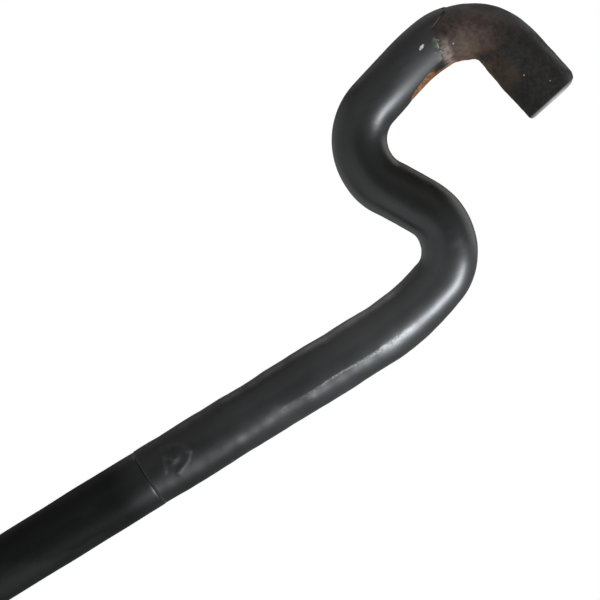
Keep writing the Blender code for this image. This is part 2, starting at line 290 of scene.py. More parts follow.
def grip_tubing_finish():
    """Satin black plastic with scuffs, dust and pale edges round its wrinkles, with painted shade in its
    hollows, at its crease's foot, through the S and towards the seam, and painted highlights along the
    crease's crest and the torn lip.
    """
    finish = Finish("grip_tubing", {"Coat Roughness": 0.45})
    mottle = finish.noise(60, detail=5)
    fine = finish.noise(900, detail=3)
    rubbed = finish.noise(140, detail=6, stretch=(1, 1, 0.35)).between(0.52, 0.72)
    finish.base(finish.mix(mottle.between(0.35, 0.7), rgb(33, 33, 33), rgb(42, 42, 42)))
    finish.stain_or_painted_light(rubbed * 0.3, rgb(56, 56, 58))
    along = finish.mark("along")
    # painted shade: the grip's tubing turns near black towards the seam
    seam_shade = along.between(SEAM_ALONG * 0.45, SEAM_ALONG * 0.9)
    finish.stain_or_painted_light(seam_shade, rgb(9, 10, 8))
    # painted shade: the tubing through the S, between the two bends, is darkened
    cross_shade = along.between(AT["first bend"] + 0.012, AT["cross"])
    cross_shade = cross_shade * along.between(AT["neck"] + 0.006, AT["second bend"])
    finish.stain_or_painted_light(cross_shade, rgb(14, 14, 12))
    # painted shade in the pucker's hollows and at the foot of the crease
    hollow_shade = finish.mark("hollow_shade").clamped()
    finish.stain_or_painted_light(hollow_shade, rgb(10, 11, 10))
    wrinkled = finish.mark("wrinkle") * fine.between(0.3, 0.6)
    finish.stain_or_painted_light(wrinkled * 0.45, rgb(46, 50, 42))
    # painted highlight: a pale line along the crease's crest
    crest_highlight = finish.mark("crest_highlight") * finish.noise(1400, detail=2).between(0.3, 0.62)
    finish.stain_or_painted_light(crest_highlight.clamped() * 0.8, rgb(150, 150, 146))
    thinned = finish.mark("thinned") * finish.noise(350).between(0.25, 0.6)
    finish.stain_or_painted_light(thinned.clamped(), rgb(62, 53, 50))
    # painted highlight: a pale grey-green line along the torn edge's lip
    lip = finish.mark("lip") * finish.noise(500).between(0.42, 0.56)
    finish.stain_or_painted_light(lip, rgb(120, 126, 108))
    chip = finish.mark("chip") * finish.noise(1100).between(0.38, 0.5)
    finish.stain_or_painted_light(chip, rgb(205, 208, 196))
    dust = finish.specks(420, 0.03, 0.1)
    finish.stain_or_painted_light(dust * 0.7, rgb(150, 149, 144))
    scorched = along.between(AT["neck"] - 0.004, AT["neck"] + 0.018)
    handled = along.between(-0.03, 0.0) * along.between(AT["first bend"] + 0.018, AT["first bend"])
    uneven = mottle * 0.1 + rubbed * 0.08 + dust * 0.2 + hollow_shade * 0.25 + seam_shade * 0.08
    finish.feed("Roughness", (0.3 + uneven + scorched * 0.22 + handled * 0.02).clamped())
    finish.feed("Coat Weight", handled * 0.55)
    finish.relief(fine * 0.2 + finish.noise(330, detail=2) * 0.8, 0.00005)
    return finish.material


def shaft_tubing_finish():
    """The lower tubing is deeper black and a little shinier, with smears of grease."""
    finish = Finish("shaft_tubing", {"Specular IOR Level": 0.12, "Coat Roughness": 0.42})
    smear = finish.noise(90, detail=5, stretch=(1, 1, 0.3)).between(0.45, 0.7)
    finish.base(finish.mix(smear, rgb(13, 14, 13), rgb(21, 22, 21)))
    finish.stain_or_painted_light(finish.specks(500, 0.03, 0.1) * 0.5, rgb(90, 89, 84))
    finish.feed("Roughness", 0.36 + smear * 0.2 + finish.noise(500) * 0.06)
    beside_seam = finish.mark("along").between(SEAM_ALONG - 0.014, SEAM_ALONG)
    finish.feed("Coat Weight", beside_seam * (0.62 - smear * 0.3))
    finish.relief(finish.noise(300, detail=3), 0.00006)
    return finish.material


GRIP_TUBING = grip_tubing_finish()
SHAFT_TUBING = shaft_tubing_finish()
print("tubing finishes:", GRIP_TUBING.name, SHAFT_TUBING.name)

# %% [markdown]
# ## Forged steel
#
# The bare hook shows dark scale from the forge, brown where it has rusted through, orange where damp sits
# inside the bend, and bright metal where the end was sawn. Most masks come from two marks on the mesh:
# how far along the bar a point is, and how far round towards the inside.

# %% Finish for the bar


def forged_steel_finish():
    """Forge scale and rust on the bare bar, with a bright sawn end."""
    finish = Finish("forged_steel", {"Specular IOR Level": 0.3})
    along = finish.mark("along")
    inner = finish.mark("inner")
    hook = AT["hook"]
    cloud = finish.noise(110, detail=7, roughness=0.62)
    grain = finish.noise(620, detail=6, roughness=0.7)
    pits = finish.noise(1500, detail=3)
    scale = finish.mix(grain.between(0.35, 0.68), rgb(17, 17, 15), rgb(37, 34, 30))
    brown = finish.mix(grain.between(0.3, 0.7), rgb(54, 43, 40), rgb(84, 68, 61))
    past_lip = along.between(hook - 0.003, hook)
    bared = along.between(hook + 0.03, hook + 0.01) * past_lip
    finish.base(finish.mix((bared * cloud.between(0.25, 0.5)).clamped(), scale, brown))
    # part paler scale, part painted sheen: the outer side of the hook is lightened to grey
    outside = bared * inner.between(-0.25, -0.85)
    finish.stain_or_painted_light(outside * cloud.between(0.2, 0.5) * 0.8, rgb(102, 94, 91))
    patch = along.between(hook + 0.005, hook + 0.0015) * inner.between(-0.1, 0.45)
    finish.stain_or_painted_light(patch * past_lip * grain.between(0.35, 0.62) * 0.65, rgb(128, 117, 105))
    inside = inner.between(0.15, 0.7) * along.between(hook + 0.042, hook + 0.026)
    inside = inside * along.between(hook + 0.004, hook + 0.018)
    finish.stain_or_painted_light(inside * cloud.between(0.34, 0.6), rgb(82, 64, 44))
    in_split = inner.between(0.6, 0.75) * along.between(hook - 0.005, hook - 0.01)
    on_edge = inner.between(0.9, 0.97) * along.between(hook + 0.014, hook + 0.004) * 0.7
    rust = in_split.math("MAXIMUM", in_split, on_edge) * along.between(hook - 0.024, hook - 0.018)
    rust = (rust * (cloud + grain).between(0.72, 1.0)).clamped()
    orange = finish.mix(grain.between(0.4, 0.6), rgb(84, 54, 34), rgb(128, 86, 54))
    finish.stain_or_painted_light(rust, orange)
    blotches = finish.noise(180, detail=6, shift=3.0).between(0.36, 0.52)
    old_paint = inner.between(-0.55, -0.9) * blotches
    finish.stain_or_painted_light(old_paint * along.between(AT["ease"], hook), rgb(50, 50, 51))
    chips = finish.specks(330, 0.05, 0.1)
    finish.stain_or_painted_light(chips * 0.8, rgb(176, 172, 160))
    sawn = finish.mark("sawn")
    saw_lines = finish.noise(300, stretch=(1, 9, 1))
    bright = finish.mix(saw_lines, rgb(188, 186, 180), rgb(226, 225, 220))
    finish.stain_or_painted_light(sawn, bright)
    slid = finish.mark("worn")
    worn = slid * finish.noise(240, detail=6, stretch=(1, 1, 0.12)).between(0.36, 0.68)
    finish.stain_or_painted_light(worn * 0.85, rgb(112, 106, 99))
    weathered = slid * finish.noise(70, detail=7, roughness=0.68, shift=5.0).between(0.54, 0.66)
    rusty = finish.mix(grain.between(0.35, 0.65), rgb(66, 44, 32), rgb(112, 70, 44))
    finish.stain_or_painted_light(weathered, rusty)
    metal = 0.25 + sawn * 0.6 + worn * 0.5 - rust * 0.25 - weathered * 0.6
    finish.feed("Metallic", metal.clamped())
    rough = 0.62 + grain * 0.16 + rust * 0.15 - old_paint * 0.14 - sawn * 0.2 - worn * 0.2
    finish.feed("Roughness", rough.clamped())
    finish.relief(cloud * 0.5 + grain * 0.35 + pits * 0.15, 0.00035)
    return finish.material


FORGED_STEEL = forged_steel_finish()
print("bar finish:", FORGED_STEEL.name)

# %% [markdown]
# ## Sweeping the bar and its tubing
#
# The bar, its tubing and the weld beads all follow a line, so one Geometry Nodes tree sweeps them all: a
# circle is carried along a curve, scaled by the curve's own radius. Each point keeps its length along the
# curve and the curve's middle and direction there, so it still knows where it is and which way is out.

# %% The sweeping tree


def new_tree(name, sockets):
    """A new Geometry Nodes tree's builder, and the wire of its first input."""
    tree = bpy.data.node_groups.new(name, "GeometryNodeTree")
    for label, kind in (("Geometry", "Geometry"), *sockets, ("Material", "Material")):
        tree.interface.new_socket(name=label, in_out="INPUT", socket_type="NodeSocket" + kind)
    tree.interface.new_socket(name="Geometry", in_out="OUTPUT", socket_type="NodeSocketGeometry")
    nodes = Nodes(tree)
    return nodes, nodes.add("NodeGroupInput")


def end_tree(nodes, shape, material):
    """Makes a tree's shape real, paints it and puts it out."""
    whole = nodes.add("GeometryNodeRealizeInstances", {}, {"Geometry": shape})
    painted = nodes.add("GeometryNodeSetMaterial", {}, {"Geometry": whole, "Material": material})
    end = nodes.tree.nodes.new("NodeGroupOutput")
    nodes.tree.links.new(painted.socket, end.inputs["Geometry"])
    return nodes.tree


def swept_tree():
    """Sweeps a circle along a curve, with ripples, and keeps each point's place along it."""
    sockets = (("Sides", "Int"), ("Capped", "Bool"), ("Ripple", "Float"), ("Pitch", "Float"))
    nodes, given = new_tree("swept bar", sockets)
    length = nodes.add("GeometryNodeSplineParameter").other("Length")
    place, ahead = nodes.add("GeometryNodeInputPosition"), nodes.add("GeometryNodeInputTangent")
    facts = {"Geometry": given, "along": length, "middle": place, "ahead": ahead}
    kept = (("along", "FLOAT"), ("middle", "VECTOR"), ("ahead", "VECTOR"))
    line = nodes.add("GeometryNodeCaptureAttribute", {"captures": kept}, facts)
    turns = length * math.tau / given.other("Pitch")
    wave = turns.math("SINE", turns)
    scale = nodes.add("GeometryNodeInputRadius") * (1 + wave * given.other("Ripple"))
    round_inputs = {"Resolution": given.other("Sides"), "Radius": 1.0}
    circle = nodes.add("GeometryNodeCurvePrimitiveCircle", {}, round_inputs)
    caps = given.other("Capped")
    sweep_inputs = {"Curve": line, "Profile Curve": circle, "Scale": scale, "Fill Caps": caps}
    mesh = nodes.add("GeometryNodeCurveToMesh", {}, sweep_inputs)
    for name, kind in kept:
        stored = {"Geometry": mesh, "Name": name, "Value": line.other(name)}
        data_type = "FLOAT_VECTOR" if kind == "VECTOR" else kind
        mesh = nodes.add("GeometryNodeStoreNamedAttribute", {"data_type": data_type}, stored)
    return end_tree(nodes, mesh, given.other("Material"))


def linked(name, data):
    """A new object in the scene."""
    thing = bpy.data.objects.new(name, data)
    bpy.context.scene.collection.objects.link(thing)
    return thing


def mesh_from(shape, name):
    """The mesh of a bmesh, which is then freed."""
    mesh = bpy.data.meshes.new(name)
    shape.to_mesh(mesh)
    shape.free()
    return mesh


def grown(name, source, tree, inputs):
    """The plain mesh that a tree makes from a source object, which is then removed."""
    modifier = source.modifiers.new("grow", "NODES")
    modifier.node_group = tree
    sockets = tree.interface.items_tree
    identifiers = {item.name: item.identifier for item in sockets if item.in_out == "INPUT"}
    for label, value in inputs.items():
        modifier[identifiers[label]] = value
    bpy.context.view_layer.update()
    made = source.evaluated_get(bpy.context.evaluated_depsgraph_get())
    mesh = bpy.data.meshes.new_from_object(made)
    bpy.data.objects.remove(source)
    mesh.name = name
    return mesh


def line_object(name, points, radii):
    """A curve object through points, with a radius at each."""
    curve = bpy.data.curves.new(name, "CURVE")
    curve.dimensions = "3D"
    spline = curve.splines.new("POLY")
    spline.points.add(len(points) - 1)
    spline.points.foreach_set("co", np.column_stack([points, np.ones(len(points))]).ravel())
    spline.points.foreach_set("radius", np.asarray(radii, float))
    return linked(name, curve)


SWEPT = swept_tree()


def swept(name, points, radii, sides, material, capped=True, ripple=0.0, pitch=1.0):
    """A mesh swept along a line."""
    inputs = {"Sides": sides, "Capped": capped, "Ripple": ripple, "Pitch": pitch, "Material": material}
    return grown(name, line_object(name, points, radii), SWEPT, inputs)


def show(name, mesh, body, slot, *nodes, smooth_angle=40):
    """Puts a finished mesh in the scene, riding on a body and standing for CAD nodes."""
    mesh.shade_smooth()
    mesh.set_sharp_from_angle(angle=math.radians(smooth_angle))
    piece = linked(name, mesh)
    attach(piece, body)
    if nodes:
        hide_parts(*nodes)
    return piece


print("the sweeping tree has", len(SWEPT.nodes), "nodes")

# %% [markdown]
# ## Reading and shaping a swept skin
#
# Numpy moves all the points of a swept mesh at once. Each one knows its distance along the bar, how far
# it faces the inside of the hook, and how far it faces the front, so a dent, a wrinkle or a torn edge is
# a formula in those numbers. Marks for the finishes are written onto the mesh the same way.

# %% The skin class
SHAFT_LENGTH = BEND_Z - ROD_LOW.z
LINE = np.vstack([[-SHAFT_LENGTH, 0.0, -SHAFT_LENGTH], CROOK_ROWS])


def middle_at(along):
    """The bar's middle at distances along it from the start of the crook."""
    x = np.interp(along, LINE[:, 0], LINE[:, 1])
    z = np.interp(along, LINE[:, 0], LINE[:, 2])
    return np.column_stack([x, np.full(len(x), AXIS_Y), z + BEND_Z])


def read(mesh, name, width):
    """An attribute of a mesh's points as an array."""
    values = np.zeros(len(mesh.vertices) * width)
    mesh.attributes[name].data.foreach_get("value" if width == 1 else "vector", values)
    return values if width == 1 else values.reshape(-1, width)


class Skin:
    """The points of a swept mesh, told by their place along the bar and the way they face."""

    def __init__(self, mesh, start):
        self.mesh = mesh
        self.along = read(mesh, "along", 1) + start
        self.middle = read(mesh, "middle", 3)
        self.ahead = read(mesh, "ahead", 3)
        arm = read(mesh, "position", 3) - self.middle
        self.reach = np.linalg.norm(arm, axis=1)
        self.out = arm / np.maximum(self.reach, 1e-9)[:, None]
        sideways = np.cross(self.ahead, (0.0, 1.0, 0.0))
        self.inner = -(self.out * sideways).sum(axis=1)
        self.front = -self.out[:, 1]
        self.angle = np.arctan2(self.inner, self.front)

    def slide(self, along):
        """Moves points along the bar's line, as high above the bar as they were."""
        self.reach = self.reach + bar_radius(along) - bar_radius(self.along)
        self.along = along
        self.middle = middle_at(along)
        step = middle_at(along + STEP) - middle_at(along - STEP)
        self.ahead = step / np.linalg.norm(step, axis=1)[:, None]
        self.turn(self.angle)

    def turn(self, angle):
        """Turns points round the bar to angles counted from the front towards the inside."""
        inwards = np.cross((0.0, 1.0, 0.0), self.ahead)
        self.out = np.cos(angle)[:, None] * np.array((0.0, -1.0, 0.0)) + np.sin(angle)[:, None] * inwards
        self.angle = angle
        self.inner = np.sin(angle)
        self.front = np.cos(angle)

    def mark(self, name, values):
        found = self.mesh.attributes.get(name) or self.mesh.attributes.new(name, "FLOAT", "POINT")
        found.data.foreach_set("value", np.asarray(values, np.float32))

    def apply(self):
        """Writes the points back to the mesh, with the marks that every finish reads."""
        places = self.middle + self.out * self.reach[:, None]
        self.mesh.vertices.foreach_set("co", places.astype(np.float32).ravel())
        self.mark("along", self.along)
        self.mark("inner", self.inner)
        self.mesh.update()


def waves(skin, length, seed):
    """Gentle random-looking swells of about -1 to 1, the same on every run."""
    turn = seed * 1.7
    place = skin.along / length * math.tau
    first = np.sin(place + 2 * skin.angle + turn)
    second = np.sin(place * 1.7 - 3 * skin.angle + 2.3 * turn)
    third = np.sin(place * 2.9 + skin.angle + 3.1 * turn)
    return (first + 0.7 * second + 0.5 * third) / 2.2


print("the straight shaft is", round(SHAFT_LENGTH * 1000, 1), "mm long")

# %% [markdown]
# ## The bar
#
# The rod is one round bar. Forging leaves the hook slightly uneven, the inside of its bend is pinched
# into a tighter corner, and the end is sawn square with its outer corner rounded off.

# %% Make the bar
TIP_TAPER = 0.014
END_CHAMFER = 0.0012
BAR_SIDES = 72
PINCH_DEPTH = 0.0014
CORNER_RADIUS = 0.0036
SCALE_LOST = 0.00022


def bar_line():
    """Distances along the bar, from the rounded tip to the sawn end, and its radii."""
    turns = np.linspace(0, math.pi / 2, 10)
    tip = -SHAFT_LENGTH + TIP_TAPER * (1 - np.cos(turns))
    tip_radii = BAR_RADIUS * (0.5 + 0.5 * np.sin(turns))
    shaft = np.arange(-SHAFT_LENGTH + TIP_TAPER + 0.002, AT["lean"], 0.002)
    crook = np.arange(AT["lean"], AT["end"] - CORNER_RADIUS, 0.0008)
    near_end = np.arange(AT["end"] - CORNER_RADIUS, AT["end"] - END_CHAMFER * 1.1, 0.0003)
    body = np.concatenate([shaft, crook, near_end])
    end = np.array([AT["end"] - END_CHAMFER, AT["end"] - END_CHAMFER * 0.3, AT["end"]])
    end_radii = bar_radius(end) - END_CHAMFER * np.array([0.0, 0.35, 1.0])
    along = np.concatenate([tip, body, end])
    return along, np.concatenate([tip_radii, bar_radius(body), end_radii])


def pinch(skin):
    """The inside of the hook's bend is pinched, deepest past its middle."""
    place = (skin.along - AT["hook"]) / (AT["leg"] - AT["hook"])
    return PINCH_DEPTH * bump((place - 0.62) / 0.22) * smooth_step(0.3, 1.0, skin.inner)


def end_corner(skin):
    """The outer corner of the end is rounded by a quarter circle."""
    depth = np.clip(1 - (AT["end"] - skin.along) / CORNER_RADIUS, 0, 1)
    return CORNER_RADIUS * (1 - np.sqrt(1 - depth**2 * 0.98)) * smooth_step(0.1, 0.9, -skin.inner)


def make_bar():
    along, radii = bar_line()
    mesh = swept("forged_bar", middle_at(along), radii, BAR_SIDES, FORGED_STEEL)
    skin = Skin(mesh, -SHAFT_LENGTH)
    bare = smooth_step(AT["hook"] - 0.002, AT["hook"] + 0.004, skin.along)
    hammered = waves(skin, 0.021, 2) * 0.00016 + waves(skin, 0.008, 5) * 0.00006
    reach = skin.reach + (hammered - SCALE_LOST) * bare - pinch(skin) - end_corner(skin)
    skin.reach = np.maximum(reach, 0)
    skin.mark("sawn", smooth_step(AT["end"] - 0.0006, AT["end"] - 0.0001, skin.along))
    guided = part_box("top_guide")[1].z + 0.004
    skin.mark("worn", smooth_step(guided + 0.006, guided, skin.middle[:, 2]))
    skin.apply()
    return show("forged_bar", mesh, "cane", "rusted_steel", "cane_rod")


BAR = make_bar()
print("bar:", len(BAR.data.polygons), "faces")

# %% [markdown]
# ## The grip's tubing
#
# The tubing was shrunk on with heat. It ends in a torn edge before the hook, split on the inside of the
# bend, and in a straight cut on the shaft. A pucker and a long crease show where it shrank unevenly: the
# pucker is ridges along short lines on the skin, and the crease a fold with painted shade at its foot
# and a painted highlight along its crest.

# %% Make the grip's tubing
WALL = 0.0005
GAP = 0.0002
GRIP_SIDES = 128
SHAFT_SIDES = 96
SEAM_SLANT = 0.0005
SEAM_RUN = 0.006
TORN_FROM = AT["hook"] - 0.027
TORN_TO = AT["hook"] + 0.008
PUCKER_ALONG = SEAM_ALONG + 0.0115
PUCKER_RIDGES = (
    (
        (-0.003, -0.0066),
        (0.0012, -0.0062),
        (0.004, -0.004),
        (0.005, -0.001),
        (0.0026, 0.0012),
        (-0.0022, 0.0034),
    ),
    ((-0.0032, -0.0034), (-0.0058, 0.0006)),
    ((-0.0032, -0.0034), (-0.0008, -0.0012), (0.003, -0.0022), (0.0044, -0.0012)),
)
PUCKER_HOLLOWS = ((0.0002, -0.0046, 0.0026, 0.0012), (-0.0006, 0.0006, 0.002, 0.0014))
CREASE_FROM = -0.04
CREASE_TO = 0.001
CREASE_ANGLE = 0.35
CROWDING = 0.55
CHIP_ALONG = AT["hook"] - 0.0052
CHIP_ACROSS = -0.0011
TONGUE = 0.0018
OUTSIDE = 0.0029
SPLIT = 0.0158
END_SLANT = 0.0036
RIDGE_HEIGHT = 0.0002
HOLLOW_DEPTH = 0.00046
FOLD_HEIGHT = 0.00032
CURL_HEIGHT = 0.00012
THINNED_BY = 0.00048
TUCKED_BY = 0.00036
SLIMMED_BY = 0.00028


def near_line(x, y, points, width):
    """1 on a chain of segments, falling to 0 over about a width to either side."""
    nearest = np.full(len(x), 1.0)
    for (ax, ay), (bx, by) in zip(points, points[1:]):
        dx, dy = bx - ax, by - ay
        t = np.clip(((x - ax) * dx + (y - ay) * dy) / (dx * dx + dy * dy), 0, 1)
        nearest = np.minimum(nearest, np.hypot(x - ax - t * dx, y - ay - t * dy))
    return bump(nearest / width)


def torn_end(skin):
    """Where the tubing ends: ragged, long on the outside and split on the inside."""
    coarse = 0.0005 * np.sin(7 * skin.angle + 1.0) + 0.0003 * np.sin(17 * skin.angle)
    ragged = coarse + 0.0002 * np.sin(31 * skin.angle)
    tongue = TONGUE * bump((skin.inner - 0.5) / 0.16)
    outside = OUTSIDE * smooth_step(0.35, 0.95, -skin.inner)
    split = SPLIT * smooth_step(0.68, 0.93, skin.inner) ** 0.7
    slant = END_SLANT * skin.inner
    calm = 1 - 0.6 * smooth_step(0.6, 0.9, skin.inner)
    return AT["hook"] + ragged * calm + tongue + outside - split - slant


def grip_rows():
    """Distances along the tubing, closest together where there is most to show."""
    crowded = (
        (SEAM_ALONG, PUCKER_ALONG - 0.008, 0.0007),
        (PUCKER_ALONG - 0.008, PUCKER_ALONG + 0.008, 0.00026),
        (PUCKER_ALONG + 0.008, CREASE_TO + 0.004, 0.0007),
        (CREASE_TO + 0.004, TORN_FROM, 0.0009),
        (TORN_FROM, TORN_TO, 0.0005),
    )
    rows = [np.arange(low, high - step / 2, step) for low, high, step in crowded]
    return np.concatenate([*rows, [TORN_TO]])


def pucker(skin, across, facing):
    """How high points stand on the pucker's ridges, and how deep they lie in its hollows."""
    x = skin.along - PUCKER_ALONG
    ridges = sum(near_line(x, across, line, 0.0008) for line in PUCKER_RIDGES) * facing
    hollows = 0
    for px, py, length, width in PUCKER_HOLLOWS:
        hollows = hollows + bump(np.hypot((x - px) / length, (across - py) / width))
    return ridges, hollows * facing


def crease(skin, facing):
    """A long fold, full at its line and fading to the front, with the painted shade at its foot and the
    painted highlight along its crest.
    """
    span = smooth_step(CREASE_FROM, CREASE_FROM + 0.01, skin.along)
    span = span * smooth_step(CREASE_TO + 0.002, CREASE_TO - 0.002, skin.along) * facing
    turns = skin.along * math.tau
    wander = 0.0002 * np.sin(turns / 0.021) + 0.0001 * np.sin(turns / 0.0031)
    arc = (skin.angle - CREASE_ANGLE) * skin.reach + wander
    fold = span * smooth_step(0.0003, -0.0003, arc) * np.exp(np.minimum(arc, 0) / 0.003)
    speckled = smooth_step(0.2, 0.9, np.sin(turns / 0.0017))
    # the crease's foot, which the finish darkens as painted shade
    dark = span * speckled * bump((arc + 0.0006) / 0.0003)
    # the crest's painted highlight is widest near the top of the straight, where the reflection is
    # brightest
    highlight_widening = smooth_step(-0.006, 0.003, skin.along) * smooth_step(0.018, 0.006, skin.along)
    crest = smooth_step(CREASE_FROM, -0.01, skin.along) * smooth_step(0.018, 0.01, skin.along)
    from_crest = (arc - 0.0001 - 0.0005 * highlight_widening) / (0.00028 + 0.0006 * highlight_widening)
    return fold, dark, crest * facing * bump(from_crest)


def sheet(name, along, sides, material):
    """Tubing as a thin sheet round the bar, with points at the distances along it."""
    radii = bar_radius(along) + GAP + WALL
    return swept(name, middle_at(along), radii, sides, material, capped=False)


def with_wall(piece):
    """Gives a sheet of tubing its thickness, inwards."""
    wall = piece.modifiers.new("wall", "SOLIDIFY")
    wall.thickness = WALL * 0.9
    wall.offset = -1
    return piece


def make_grip_tubing():
    mesh = sheet("grip_tubing", grip_rows(), GRIP_SIDES, GRIP_TUBING)
    skin = Skin(mesh, SEAM_ALONG)
    skin.turn(skin.angle - CROWDING * np.sin(skin.angle - CREASE_ANGLE))
    share = np.clip((skin.along - TORN_FROM) / (TORN_TO - TORN_FROM), 0, 1)
    end = torn_end(skin)
    near_seam = np.clip(1 - (skin.along - SEAM_ALONG) / SEAM_RUN, 0, 1)
    settled = np.where(share > 0, TORN_FROM + share * (end - TORN_FROM), skin.along)
    skin.slide(settled + near_seam * SEAM_SLANT * (skin.inner - 1) * 0.5 - near_seam * 0.0002)
    left = end - skin.along
    lip = np.exp(-left / 0.0009) * (share > 0)
    thinned = smooth_step(0.0, 0.6, -skin.inner) * np.exp(-left / 0.003) * (share > 0)
    tucked = smooth_step(0.5, 0.8, skin.inner) * np.exp(-left / 0.0028) * (share > 0)
    across = skin.reach * np.sin(skin.angle)
    facing = smooth_step(0.0, 0.3, skin.front)
    ridges, hollows = pucker(skin, across, facing)
    # the crease's fold, with its foot of painted shade and its crest of painted highlight
    fold, crease_foot_shade, crest_highlight = crease(skin, facing)
    swell = waves(skin, 0.047, 1) * 0.0002 + waves(skin, 0.016, 4) * 0.00006
    slim = smooth_step(AT["second bend"], AT["neck"], skin.along)
    curl = lip * smooth_step(0.8, 0.5, skin.inner)
    raised = swell * (1 - slim) + ridges * RIDGE_HEIGHT + fold * FOLD_HEIGHT + curl * CURL_HEIGHT
    sunk = slim * SLIMMED_BY + hollows * HOLLOW_DEPTH + thinned * THINNED_BY + tucked * TUCKED_BY
    skin.reach = skin.reach + raised - sunk
    skin.mark("wrinkle", np.clip(ridges, 0, 1) ** 2)
    # where the painted highlight along the crease's crest lies
    skin.mark("crest_highlight", crest_highlight)
    skin.mark("thinned", thinned)
    # painted shade goes in the pucker's hollows and at the crease's foot
    skin.mark("hollow_shade", np.clip(hollows * 0.8 + crease_foot_shade * 0.9, 0, 1))
    # the sides of the torn lip that carry its painted highlight
    pale = smooth_step(-0.25, 0.05, skin.inner) * smooth_step(0.8, 0.6, skin.inner)
    skin.mark("lip", lip * pale)
    chip_x = skin.along - CHIP_ALONG
    chip_y = across - CHIP_ACROSS + 0.3 * chip_x
    chip = np.hypot(chip_x / 0.0011, chip_y / 0.00045)
    skin.mark("chip", smooth_step(1.2, 0.8, chip) * facing)
    skin.apply()
    return with_wall(show("grip_tubing", mesh, "cane", "black_tubing", "grip_sleeve"))


GRIP = make_grip_tubing()
print("grip tubing:", len(GRIP.data.polygons), "faces before its wall")

# %% [markdown]
# The lower tubing is a plain length from the seam to just above the top guide. It has no wrinkles, only
# slight swells and ends that are drawn in a little.

# %% Make the shaft's tubing


def make_shaft_tubing():
    low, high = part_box("shaft_sleeve")
    along = np.arange(low.z, high.z + STEP, STEP) - BEND_Z
    mesh = sheet("shaft_tubing", along, SHAFT_SIDES, SHAFT_TUBING)
    skin = Skin(mesh, along[0])
    from_edge = np.minimum(skin.along - along[0], along[-1] - skin.along)
    swell = waves(skin, 0.055, 3) * 0.0001
    near_seam = np.clip(1 - (along[-1] - skin.along) / SEAM_RUN, 0, 1)
    skin.slide(skin.along + near_seam * SEAM_SLANT * (skin.inner - 1) * 0.5)
    skin.reach = skin.reach + swell - 0.0002 * np.exp(-from_edge / 0.0004)
    skin.apply()
    return with_wall(show("shaft_tubing", mesh, "cane", "dark_tubing", "shaft_sleeve"))


SHAFT = make_shaft_tubing()
print("shaft tubing:", len(SHAFT.data.polygons), "faces before its wall")

# %% [markdown]
# ## Finishes for the bracket and its fasteners
#
# Black paint wears through along edges first, so the mask for bare steel compares the surface's direction
# with the one it would have if its edges were rounded: they differ only beside an edge. Zinc plating is a
# mottled grey, and the spring pins are oiled steel.

# %% Make the finishes


def edge_mask(finish, radius):
    """1 beside a sharp edge and 0 on a flat face."""
    rounded = finish.add("ShaderNodeBevel", {"samples": 6}, {"Radius": radius})
    facing = finish.add("ShaderNodeNewGeometry").other("Normal")
    agreement = finish.add("ShaderNodeVectorMath", {"operation": "DOT_PRODUCT"}, {0: rounded, 1: facing})
    return (1 - agreement.other("Value")).between(0.015, 0.16)


def bracket_paint_finish():
    """Satin black paint, chipped to steel and rust along its edges."""
    finish = Finish("bracket_paint")
    mottle = finish.noise(45, detail=5)
    grain = finish.noise(700, detail=5, roughness=0.65)
    chipped = (edge_mask(finish, 0.0016) * finish.noise(230, detail=6).between(0.4, 0.56)).clamped()
    spots = finish.specks(150, 0.06, 0.16) * finish.noise(600).between(0.35, 0.6)
    bare = chipped.math("MAXIMUM", chipped, spots)
    finish.base(finish.mix(mottle.between(0.35, 0.65), rgb(36, 36, 37), rgb(46, 46, 47)))
    dusty = finish.noise(25, detail=6, stretch=(1, 1, 0.2)).between(0.52, 0.75)
    finish.stain_or_painted_light(dusty * 0.35, rgb(92, 88, 80))
    rusty = finish.mix(grain.between(0.4, 0.62), rgb(96, 60, 38), rgb(134, 124, 114))
    finish.stain_or_painted_light(bare, rusty)
    finish.feed("Metallic", bare * grain.between(0.45, 0.6) * 0.8)
    finish.feed("Roughness", (0.4 + mottle * 0.14 + dusty * 0.2 + bare * 0.2).clamped())
    finish.relief(finish.noise(320, detail=3) * 0.5 + grain * 0.2 - bare * 0.3, 0.00018)
    return finish.material


def zinc_finish():
    """Dull zinc plating with a faint yellow cast and brown specks."""
    finish = Finish("zinc_plating")
    cloud = finish.noise(260, detail=6)
    fine = finish.noise(1400)
    finish.base(finish.mix(cloud.between(0.3, 0.7), rgb(148, 150, 150), rgb(186, 184, 172)))
    tarnish = finish.noise(420, detail=5, shift=2.0).between(0.58, 0.72)
    finish.stain_or_painted_light(tarnish * 0.8, rgb(104, 82, 62))
    finish.feed("Metallic", 0.9 - tarnish * 0.5)
    finish.feed("Roughness", 0.34 + cloud * 0.16 + tarnish * 0.25)
    finish.relief(fine * 0.5 + cloud * 0.5, 0.00006)
    return finish.material


def pin_finish():
    """Oiled spring steel with drawn lines along the pin."""
    finish = Finish("pin_steel")
    lines = finish.noise(300, stretch=(1, 0.15, 4))
    edge = edge_mask(finish, 0.0008)
    finish.base(finish.mix(lines.between(0.3, 0.7), rgb(92, 88, 84), rgb(124, 120, 115)))
    finish.stain_or_painted_light(edge * 0.6, rgb(176, 174, 170))
    finish.feed("Metallic", 0.95 - finish.noise(500).between(0.6, 0.75) * 0.3)
    finish.feed("Roughness", 0.3 + lines * 0.18)
    finish.relief(lines, 0.00003)
    return finish.material


BRACKET_PAINT = bracket_paint_finish()
ZINC = zinc_finish()
PIN_STEEL = pin_finish()
print("bracket finishes:", BRACKET_PAINT.name, ZINC.name, PIN_STEEL.name)

# %% [markdown]
# ## The plates, washers and pins
#
# These have the right shape in the frame already, but every edge is perfectly sharp. A copy of each is
# merged into flat faces, and a Bevel modifier rounds its edges. One loop makes them all.

# %% Round the edges of the plain pieces
def numbered(start):
    """The CAD nodes whose names start alike."""
    return [name for name in frame["nodes"] if name.startswith(start)]


